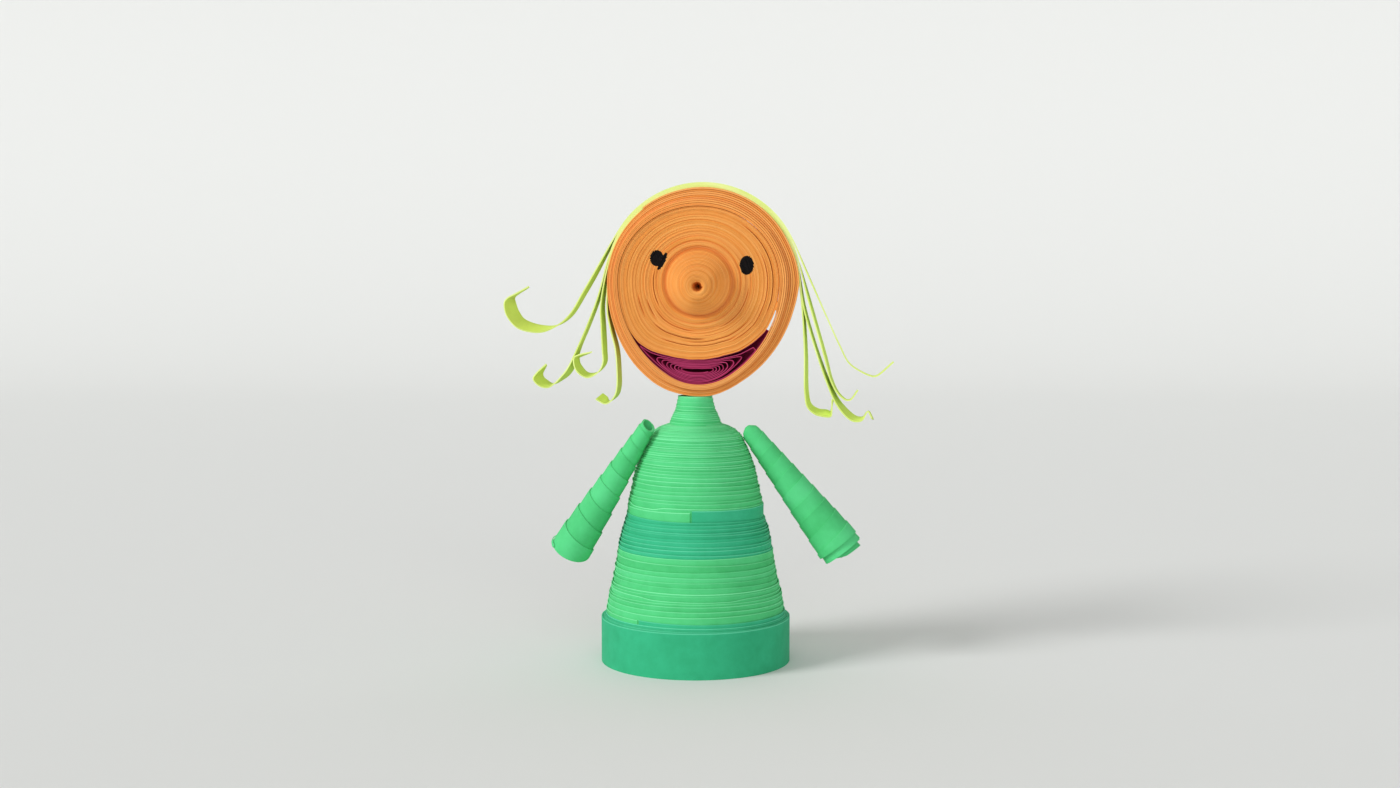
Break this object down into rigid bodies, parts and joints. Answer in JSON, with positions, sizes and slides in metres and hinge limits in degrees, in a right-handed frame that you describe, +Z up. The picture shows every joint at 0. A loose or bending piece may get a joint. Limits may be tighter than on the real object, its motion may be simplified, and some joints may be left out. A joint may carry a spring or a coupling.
{
  "type": "quilled paper doll",
  "caption": "Small standing doll of quilled paper: a bell-shaped dress of telescoped turns, rolled cone arms, an egg-shaped coil head and curled strips for hair.",
  "frame": {"origin": "middle of the hem's lower edge, on the surface that the doll stands on", "axes": "+Z up, -Y towards the viewer, the way the face looks, +X to the viewer's right"},
  "size_m": [0.0592, 0.029, 0.0728],
  "materials": {
    "teal_paper": "matt",
    "green_paper": "matt",
    "orange_paper": "matt",
    "black_ink": "matt",
    "magenta_paper": "matt",
    "lime_paper": "matt"
  },
  "bodies": {
    "root": {"hem_coil": "teal_paper", "skirt_coil": "green_paper", "waist_band_coil": "teal_paper", "bodice_coil": "green_paper", "neck_coil": "green_paper", "left_arm_roll": "green_paper", "right_arm_roll": "green_paper", "face_coil": "orange_paper", "left_eye_ink": "black_ink", "right_eye_ink": "black_ink", "mouth_coil": "magenta_paper", "head_wrap": "orange_paper", "hair_strip_1": "lime_paper", "hair_strip_2": "lime_paper", "hair_strip_3": "lime_paper", "hair_strip_4": "lime_paper"}
  },
  "joints": []
}
